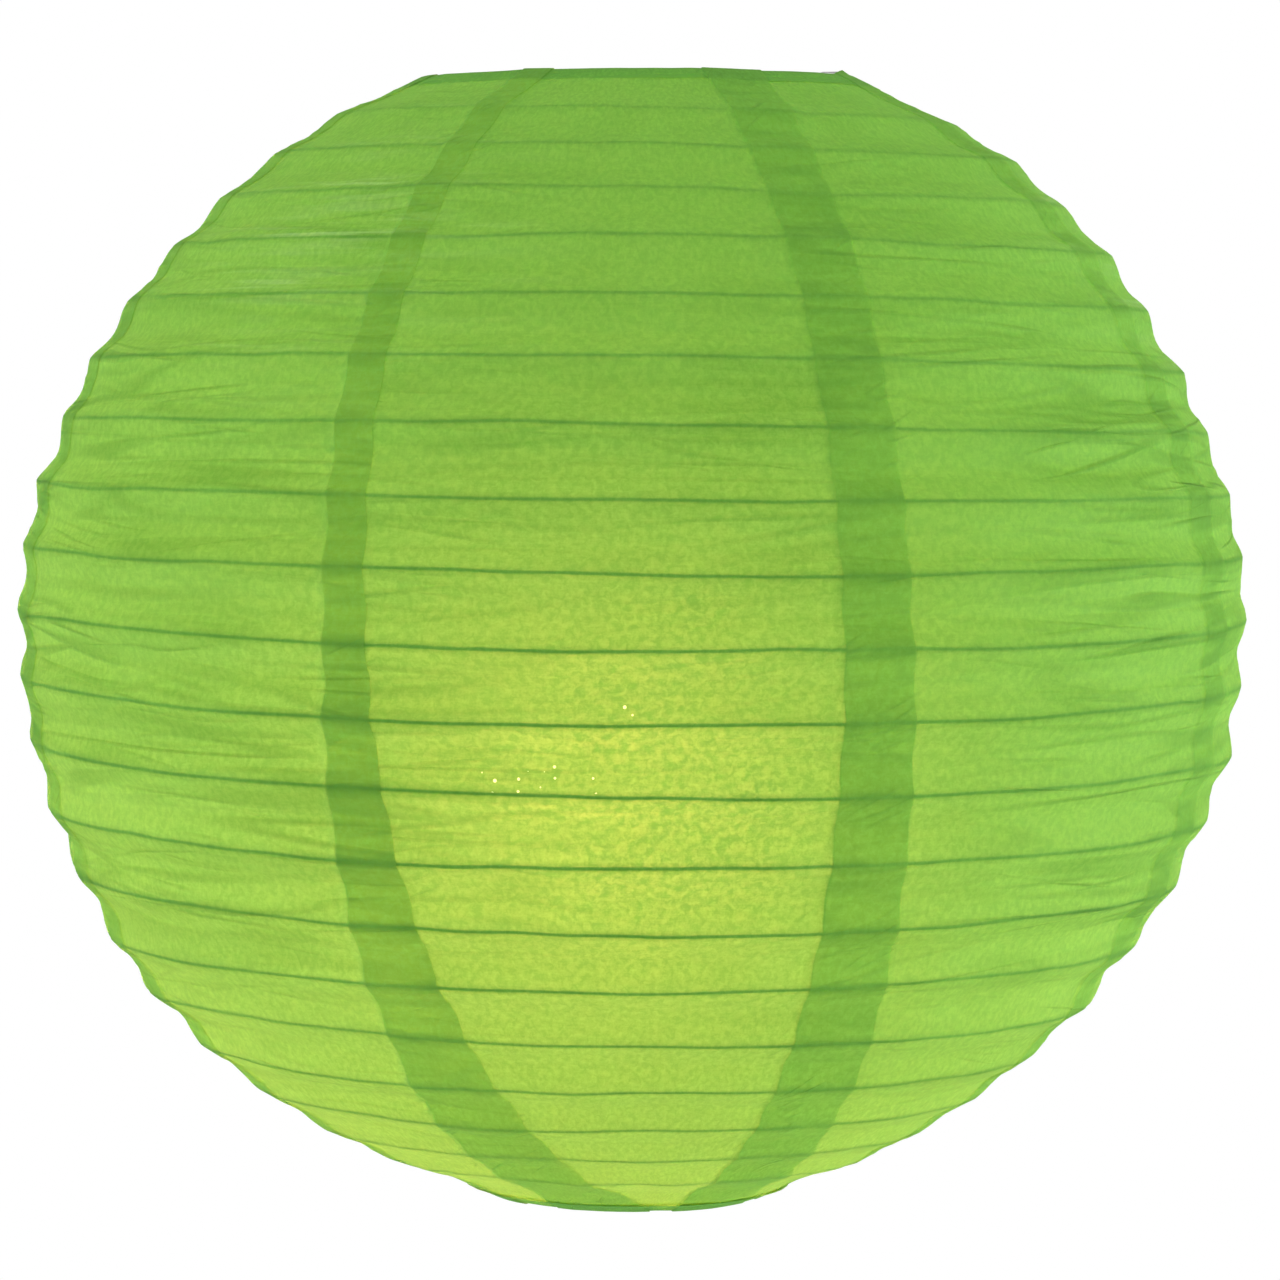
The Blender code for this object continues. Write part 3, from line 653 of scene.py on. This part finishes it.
    # The rib lines darken the light passing through too: glue and a painted shadow of the wire.
    through = n.mix(glue_and_wire_shadow, through, (0.16, 0.28, 0.03, 1.0))
    clear = n.mix(glue_and_wire_shadow, clear, (0.16, 0.28, 0.03, 1.0))
    holes = n.add("TexVoronoi", feature="F1", voronoi_dimensions="2D")
    n.put(holes, Vector=uv, Scale=260.0, Randomness=1.0)
    pick = n.add("SeparateColor")
    n.link(holes.outputs["Color"], pick.inputs[0])
    hole = n.math("MULTIPLY", n.math("LESS_THAN", holes.outputs["Distance"],
                                     n.remap(pick.outputs[1], 0.0, 1.0, 0.03, 0.15)),
                  n.math("GREATER_THAN", pick.outputs[0], 0.45))
    hole = n.math("MULTIPLY", hole, n.math("GREATER_THAN", pinholes, 0.4))
    clear = n.mix(hole, clear, (5.0, 5.0, 4.4, 1.0))

    normal = n.bump(crease_and_shade, 0.7, 0.0008)
    normal = n.bump(band, 0.3, 0.0006, normal)
    normal = n.bump(mottle, 0.05, 0.0002, normal)

    surface = n.add("BsdfPrincipled")
    n.put(surface, Base_Color=body, Roughness=n.remap(mottle, 0.3, 0.7, 0.62, 0.82), Normal=normal,
          Specular_IOR_Level=0.25)
    glow = n.add("BsdfTranslucent")
    n.put(glow, Color=through, Normal=normal)
    beam = n.add("BsdfRefraction")
    n.put(beam, Color=clear, Roughness=1.0, IOR=1.6, Normal=normal)
    passing = n.add("MixShader")
    n.put(passing, Fac=BEAM_SHARE)
    n.link(glow.outputs["BSDF"], passing.inputs[1])
    n.link(beam.outputs["BSDF"], passing.inputs[2])
    both = n.add("MixShader")
    n.put(both, Fac=THROUGH_SHARE)
    n.link(surface.outputs["BSDF"], both.inputs[1])
    n.link(passing.outputs["Shader"], both.inputs[2])
    n.link(both.outputs["Shader"], n.output.inputs["Surface"])
    return n.material


def metal_material(name, colour, roughness, scale=700.0):
    """Drawn wire or sheet metal with fine streaks and dull patches."""
    n = Nodes(name)
    coords = n.add("TexCoord").outputs["Object"]
    patches = n.noise(coords, 60.0, 4.0, 0.6)
    streaks = n.noise(n.stretch(coords, (1.0, 1.0, 0.15)), scale, 3.0, 0.6)
    dark = tuple(c * 0.62 for c in colour) + (1.0,)
    tint = n.mix(n.remap(patches, 0.35, 0.75, 0.0, 1.0), (*colour, 1.0), dark)
    surface = n.add("BsdfPrincipled")
    n.put(surface, Base_Color=tint, Metallic=1.0,
          Roughness=n.remap(streaks, 0.3, 0.7, roughness * 0.8, roughness * 1.3),
          Normal=n.bump(streaks, 0.15, 0.0001))
    return n.finished(surface)


def plastic_material(name, colour, roughness, grain=1400.0):
    """Moulded plastic with a faint grain and slight soiling."""
    n = Nodes(name)
    coords = n.add("TexCoord").outputs["Object"]
    soil = n.noise(coords, 45.0, 5.0, 0.6)
    texture = n.noise(coords, grain, 2.0, 0.5)
    dull = tuple(c * 0.86 for c in colour) + (1.0,)
    tint = n.mix(n.remap(soil, 0.45, 0.8, 0.0, 1.0), (*colour, 1.0), dull)
    surface = n.add("BsdfPrincipled")
    n.put(surface, Base_Color=tint, Roughness=n.remap(soil, 0.3, 0.7, roughness * 0.85, roughness * 1.2),
          Normal=n.bump(texture, 0.12, 0.00008))
    return n.finished(surface)


def lit_globe_material():
    """Frosted globe, lit from inside and a little darker at its collar."""
    n = Nodes("lit_frosted_globe")
    coords = n.add("TexCoord").outputs["Object"]
    frost = n.noise(coords, 900.0, 2.0, 0.5)
    height = n.add("SeparateXYZ")
    n.link(n.add("TexCoord").outputs["Generated"], height.inputs[0])
    strength = n.remap(height.outputs["Z"], 0.05, 0.85, LAMP_STRENGTH * 1.45, LAMP_STRENGTH * 0.5)
    strength = n.math("MULTIPLY", strength, n.remap(height.outputs["X"], 0.0, 1.0, 1.45, 0.55))
    surface = n.add("BsdfPrincipled")
    n.put(surface, Base_Color=(0.93, 0.91, 0.86, 1.0), Roughness=n.remap(frost, 0.3, 0.7, 0.45, 0.6),
          Emission_Color=LAMP_COLOUR, Emission_Strength=strength,
          Normal=n.bump(frost, 0.1, 0.0001))
    return n.finished(surface)


def battery_material():
    """A plain two-tone sleeve with bare steel ends and no print."""
    n = Nodes("battery_sleeve")
    coords = n.add("TexCoord")
    height = n.add("SeparateXYZ")
    n.link(coords.outputs["Generated"], height.inputs[0])
    along = height.outputs["Z"]
    scuffs = n.noise(coords.outputs["Object"], 320.0, 4.0, 0.6)
    upper = n.math("GREATER_THAN", along, 0.70)
    end = n.math("MAXIMUM", n.math("GREATER_THAN", along, 0.955), n.math("LESS_THAN", along, 0.035))
    tint = n.mix(upper, (0.045, 0.047, 0.05, 1.0), (0.62, 0.36, 0.16, 1.0))
    tint = n.mix(end, tint, (0.70, 0.70, 0.68, 1.0))
    surface = n.add("BsdfPrincipled")
    n.put(surface, Base_Color=n.mix(n.remap(scuffs, 0.55, 0.8, 0.0, 0.4), tint, (0.35, 0.34, 0.33, 1.0)),
          Metallic=n.remap(end, 0.0, 1.0, 0.35, 1.0), Roughness=n.remap(scuffs, 0.3, 0.7, 0.28, 0.42),
          Normal=n.bump(scuffs, 0.08, 0.00008))
    return n.finished(surface)


def lit_led_material():
    """Clear moulded epoxy over a lit chip."""
    n = Nodes("lit_led_epoxy")
    coords = n.add("TexCoord").outputs["Object"]
    haze = n.noise(coords, 1600.0, 2.0, 0.5)
    surface = n.add("BsdfPrincipled")
    n.put(surface, Base_Color=n.mix(haze, (0.90, 0.86, 0.70, 1.0), (0.96, 0.93, 0.82, 1.0)),
          Roughness=n.remap(haze, 0.3, 0.7, 0.12, 0.22), Emission_Color=LAMP_COLOUR,
          Emission_Strength=LED_STRENGTH, Normal=n.bump(haze, 0.05, 0.00005))
    return n.finished(surface)


def assign(obj, material):
    obj.data.materials.clear()
    obj.data.materials.append(material)


# ---------------------------------------------------------------- paper gores

ROWS_PER_BAND = 14
PANEL_COLUMNS = 46
LAP_COLUMNS = 7
WRAP_STEPS = 6
HEM_STEPS = 5
HEM_LENGTH = 0.008
STEP_SHARE = 0.0022
LAP_EDGE_SHARE = 0.03
LAP_LIGHT_ROWS = [0.0, 14.0, 17.0, 21.0]
LAP_LIGHT_BY_ROW = [1.0, 1.0, 0.55, 0.30]
LUMP_HEIGHT = 0.0013
LUMP_WIDTH = 3.0
# How dark the line at each rib is, down the shade, and how wide: partly glue, partly a painted shadow of
# the wire.
RIB_LINE_ROWS = [0.0, 2.0, 5.0, 9.0, 12.0, 18.0, 21.0]
RIB_LINE_STRENGTH = [0.0, 0.10, 0.14, 0.32, 0.50, 0.30, 0.12]
RIB_LINE_WIDTH = 0.0010
LAP_LINE_WIDTH = 0.0021


def panel_rows():
    """Row numbers from rim to rim, closer together near the wires."""
    even = np.arange(ROWS_PER_BAND) / ROWS_PER_BAND
    close = 0.5 * even + 0.5 * (0.5 - 0.5 * np.cos(math.pi * even))
    rows = [band + share for band in range(BAND_COUNT) for share in close]
    return np.array(rows + [float(BAND_COUNT)])


def gore_columns(seam, row):
    """(angles, lifts) of one row of a gore: its panel and then its lap over the next gore."""
    start = seam_angle(seam, row)
    end = seam_angle(seam + 1, row)
    share = np.arange(PANEL_COLUMNS - 1) / (PANEL_COLUMNS - 2)
    share = np.append(share[:-1], [1 - STEP_SHARE, 1.0])
    panel = start + (end - start) * share
    lap_share = np.append(LAP_EDGE_SHARE, np.arange(1, LAP_COLUMNS) / (LAP_COLUMNS - 1))
    lap = end + lap_angle(seam + 1, row) * lap_share
    lifts = np.where(share == 1.0, LAYER, 0.0)
    return np.concatenate([panel, lap]), np.concatenate([lifts, np.full(LAP_COLUMNS, LAYER)])


def hem_rows(ring, seam, inward):
    """Rows that fold the paper over a rim wire and back along its inside."""
    angle, lift = gore_columns(seam, float(ring))
    out, up = ring_wobble(np.full(angle.shape, ring), angle)
    radius = RING_RADII[ring] + out
    height = RING_HEIGHTS[ring] + up
    reach = RING_WIRES[ring] + PAPER_OFFSET + lift
    if ring == 0:
        from_leg = (angle + 90.0) % 180.0 - 90.0
        reach = reach + LUMP_HEIGHT * np.exp(-(from_leg / LUMP_WIDTH) ** 2)
    outward = math.atan2(NORMAL_UP[ring], NORMAL_OUT[ring])
    away = 1.0 if ring == 0 else -1.0
    rows = []
    for step in range(1, WRAP_STEPS + 1):
        turn = outward + away * math.pi * step / WRAP_STEPS
        rows.append((radius + reach * math.cos(turn), height + reach * math.sin(turn)))
    start_r, start_z = rows[-1]
    along_r, along_z = inward
    for step in range(1, HEM_STEPS + 1):
        share = step / HEM_STEPS
        closing = smooth_step(share * 1.6) * (2 * (RING_WIRES[ring] + PAPER_OFFSET) - 0.0002)
        rows.append((start_r + along_r * HEM_LENGTH * share + NORMAL_OUT[ring] * closing,
                     start_z + along_z * HEM_LENGTH * share + NORMAL_UP[ring] * closing))
    turn = np.radians(angle)
    return [np.stack([r * np.cos(turn), r * np.sin(turn), z], axis=-1) for r, z in rows], angle


def make_gore(number, material):
    """One paper panel, with its folded hems, as a single sheet."""
    seam = number - 1
    rows = panel_rows()
    blocks, angles, arcs, ribs = [], [], [], []
    columns = PANEL_COLUMNS + LAP_COLUMNS
    top_way = (RING_RADII[1] - RING_RADII[0], RING_HEIGHTS[1] - RING_HEIGHTS[0])
    top_way = tuple(np.array(top_way) / np.hypot(*top_way))
    low_way = (RING_RADII[-2] - RING_RADII[-1], RING_HEIGHTS[-2] - RING_HEIGHTS[-1])
    low_way = tuple(np.array(low_way) / np.hypot(*low_way))
    top_hem, top_angle = hem_rows(0, seam, top_way)
    low_hem, low_angle = hem_rows(BAND_COUNT, seam, low_way)
    hem_arc = np.concatenate([np.full(WRAP_STEPS, 0.0004),
                              HEM_LENGTH * np.arange(1, HEM_STEPS + 1) / HEM_STEPS])
    for points, arc in reversed(list(zip(top_hem, hem_arc))):
        blocks.append(points)
        angles.append(top_angle)
        arcs.append(np.full(top_angle.shape, -arc))
        ribs.append(np.full(top_angle.shape, 0.0))
    band_length = np.interp(rows, np.arange(BAND_COUNT) + 0.5, BAND_LENGTHS)
    near = np.abs(rows - np.round(rows)) * band_length
    for row, gap in zip(rows, near):
        angle, lift = gore_columns(seam, row)
        blocks.append(paper_points(angle, np.full(angle.shape, row), lift))
        angles.append(angle)
        arcs.append(np.full(angle.shape, np.interp(row, RING_ROWS, RING_ARCS)))
        # The rib line's strength, uneven along each rib: glue and a painted shadow of the wire.
        strength = float(np.interp(row, RIB_LINE_ROWS, RIB_LINE_STRENGTH))
        glue_and_shadow_unevenness = 0.55 + 0.9 * noise(around(angle, 60), row * 0.8, 61, 60)
        width = np.where(lift > 0, LAP_LINE_WIDTH, RIB_LINE_WIDTH)
        ribs.append(np.clip(strength * glue_and_shadow_unevenness, 0.0, 1.0) * np.exp(-(gap / width) ** 2))
    for points, arc in zip(low_hem, hem_arc):
        blocks.append(points)
        angles.append(low_angle)
        arcs.append(np.full(low_angle.shape, RING_ARCS[-1] + arc))
        ribs.append(np.full(low_angle.shape, 0.0))
    points = np.concatenate(blocks).reshape(-1, 3)
    gore = new_mesh_object(f"gore_sheet_{number}", points, grid_faces(len(blocks), columns))
    set_uv(gore.data, np.radians(np.array(angles)) * EQUATOR_RADIUS, np.array(arcs))
    set_values(gore.data, "glue_and_wire_shadow_line", np.array(ribs))
    lap = np.where(np.arange(columns) >= PANEL_COLUMNS, LAP_LIGHT[(seam + 1) % GORE_COUNT], 0.0)
    arc_rows = row_at(np.array(arcs)[:, :1])
    set_values(gore.data, "lap", lap * np.interp(arc_rows, LAP_LIGHT_ROWS, LAP_LIGHT_BY_ROW))
    set_values(gore.data, "creased", crease_amount(np.array(angles), np.array(arcs)))
    set_values(gore.data, "highlight_streaks", highlight_streak_amount(np.array(angles), np.array(arcs)))
    set_values(gore.data, "pinholes", pinhole_amount(np.array(angles), np.array(arcs)))
    set_values(gore.data, "near_seam", seam_amount(np.array(angles), np.array(arcs)))
    assign(gore, material)
    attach(gore, "frame")
    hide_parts(f"paper_gore_{number}")
    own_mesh(gore)
    return gore


# ---------------------------------------------------------------- wires

RING_STEPS = 240


def make_ring(ring, material):
    """A rib or rim wire that follows the paper's small waves."""
    node = RING_NODES[ring]
    angle = 360.0 * np.arange(RING_STEPS) / RING_STEPS
    out, up = ring_wobble(np.full(RING_STEPS, ring), angle)
    turn = np.radians(angle)
    radius = RING_RADII[ring] + out
    height = RING_HEIGHTS[ring] + up
    path = np.stack([radius * np.cos(turn), radius * np.sin(turn), height], axis=-1)
    wire = tube_mesh(f"{node}_wire", path, RING_WIRES[ring], sides=8, closed=True)
    assign(wire, material)
    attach(wire, "frame" if node == "top_rim" else node)
    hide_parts(node)
    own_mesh(wire)
    return wire


# ---------------------------------------------------------------- camera, light and floor

CAMERA_DISTANCE = 1.650
CAMERA_RISE = 0.0801
CAMERA_LENS = 142.5
CAMERA_ROLL = 0.65
SENSOR_WIDTH = 36.0
AIM_RIGHT = 0.0026
AIM_DROP = 0.0075
FLOOR_DROP = 1.2
FLOOR_RADIUS = 6.0
FLOOR_STEPS = 96


def make_camera():
    """Level with the upper half of the shade, looking slightly down."""
    turn = math.radians(VIEW_ANGLE)
    towards = Vector((math.cos(turn), math.sin(turn), 0.0))
    right = Vector((-math.sin(turn), math.cos(turn), 0.0))
    centre = Vector((0.0, 0.0, EQUATOR_Z))
    camera = bpy.data.objects.new("camera", bpy.data.cameras.new("camera"))
    bpy.context.scene.collection.objects.link(camera)
    camera.data.lens = CAMERA_LENS
    camera.data.sensor_width = SENSOR_WIDTH
    camera.data.clip_start = 0.05
    camera.data.clip_end = 60.0
    place = centre + towards * CAMERA_DISTANCE + Vector((0, 0, CAMERA_RISE))
    aim = centre + right * AIM_RIGHT - Vector((0, 0, AIM_DROP))
    look = (aim - place).to_track_quat("-Z", "Y").to_matrix().to_4x4()
    camera.matrix_world = (Matrix.Translation(place) @ look
                           @ Matrix.Rotation(math.radians(CAMERA_ROLL), 4, "Z"))
    bpy.context.scene.camera = camera
    return camera


def area_light(name, angle, rise, distance, size, power, colour=(1.0, 1.0, 1.0)):
    """A soft box that faces the lantern, at an angle right of the camera and a rise in degrees."""
    turn = math.radians(VIEW_ANGLE + angle)
    lift = math.radians(rise)
    centre = Vector((0.0, 0.0, EQUATOR_Z))
    place = centre + distance * Vector((math.cos(turn) * math.cos(lift), math.sin(turn) * math.cos(lift),
                                        math.sin(lift)))
    light = bpy.data.objects.new(name, bpy.data.lights.new(name, "AREA"))
    bpy.context.scene.collection.objects.link(light)
    light.data.shape = "DISK"
    light.data.size = size
    light.data.energy = power
    light.data.color = colour
    light.location = place
    light.rotation_euler = (centre - place).to_track_quat("-Z", "Y").to_euler()
    return light


def make_world(strength, shown):
    """Even white surroundings, shown to the camera a little brighter than they light."""
    world = bpy.data.worlds.new("studio")
    bpy.context.scene.world = world
    world.use_nodes = True
    tree = world.node_tree
    tree.nodes.clear()
    output = tree.nodes.new("ShaderNodeOutputWorld")
    light = tree.nodes.new("ShaderNodeBackground")
    light.inputs["Color"].default_value = (1.0, 1.0, 1.0, 1.0)
    light.inputs["Strength"].default_value = strength
    back = tree.nodes.new("ShaderNodeBackground")
    back.inputs["Color"].default_value = (1.0, 1.0, 1.0, 1.0)
    back.inputs["Strength"].default_value = shown
    path = tree.nodes.new("ShaderNodeLightPath")
    mix = tree.nodes.new("ShaderNodeMixShader")
    tree.links.new(path.outputs["Is Camera Ray"], mix.inputs[0])
    tree.links.new(light.outputs[0], mix.inputs[1])
    tree.links.new(back.outputs[0], mix.inputs[2])
    tree.links.new(mix.outputs[0], output.inputs["Surface"])


def make_floor():
    """A wide pale disc well below the hanging lantern."""
    turn = 2 * math.pi * np.arange(FLOOR_STEPS) / FLOOR_STEPS
    height = np.full(FLOOR_STEPS, BOTTOM_Z - FLOOR_DROP)
    rim = np.stack([FLOOR_RADIUS * np.cos(turn), FLOOR_RADIUS * np.sin(turn), height], axis=-1)
    floor = new_mesh_object("floor", rim, [tuple(range(FLOOR_STEPS))])
    n = Nodes("pale_floor")
    coords = n.add("TexCoord").outputs["Object"]
    tint = n.mix(n.noise(coords, 3.0, 4.0), (0.88, 0.88, 0.87, 1.0), (0.92, 0.92, 0.91, 1.0))
    surface = n.add("BsdfPrincipled")
    n.put(surface, Base_Color=tint, Roughness=0.7)
    assign(floor, n.finished(surface))


# ---------------------------------------------------------------- assembly

LIT_STRENGTH = 0.62
SHOWN_STRENGTH = 1.0

make_camera()
make_world(LIT_STRENGTH, SHOWN_STRENGTH)
area_light("key_light", -40.0, 30.0, 2.6, 1.6, 13.5)
area_light("left_side", -94.0, -20.0, 2.4, 1.8, 20.5)
area_light("right_side", 90.0, -5.0, 2.4, 1.8, 38.0)
area_light("floor_bounce", -14.0, -50.0, 2.4, 1.6, 29.0)
make_floor()

PAPER = paper_material()
WIRE = metal_material("plated_wire", (0.62, 0.62, 0.60), 0.38)
for gore_number in range(1, GORE_COUNT + 1):
    make_gore(gore_number, PAPER)
for ring_number in range(len(RING_NODES)):
    make_ring(ring_number, WIRE)

LAMP_WHITE = plastic_material("white_plastic", (0.84, 0.84, 0.81), 0.42)
assign(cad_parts["expander"], WIRE)
assign(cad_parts["lamp_hanger"], WIRE)
for lamp_node in ("lamp_housing", "lamp_cap", "battery_cover", "switch_slider"):
    assign(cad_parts[lamp_node], LAMP_WHITE)
assign(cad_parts["lamp_globe"], lit_globe_material())
assign(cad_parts["light_board"], plastic_material("white_circuit_board", (0.78, 0.80, 0.77), 0.35))
assign(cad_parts["contact_board"], plastic_material("phenolic_board", (0.30, 0.19, 0.09), 0.5))
NICKEL = metal_material("nickel_plate", (0.72, 0.70, 0.66), 0.28)
BATTERY = battery_material()
LED = lit_led_material()
assign(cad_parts["contact_plate"], NICKEL)
for cell_number in (1, 2, 3):
    assign(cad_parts[f"battery_{cell_number}"], BATTERY)
    assign(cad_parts[f"contact_spring_{cell_number}"], NICKEL)
    assign(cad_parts[f"led_{cell_number}"], LED)

bpy.context.scene.view_settings.view_transform = "Standard"
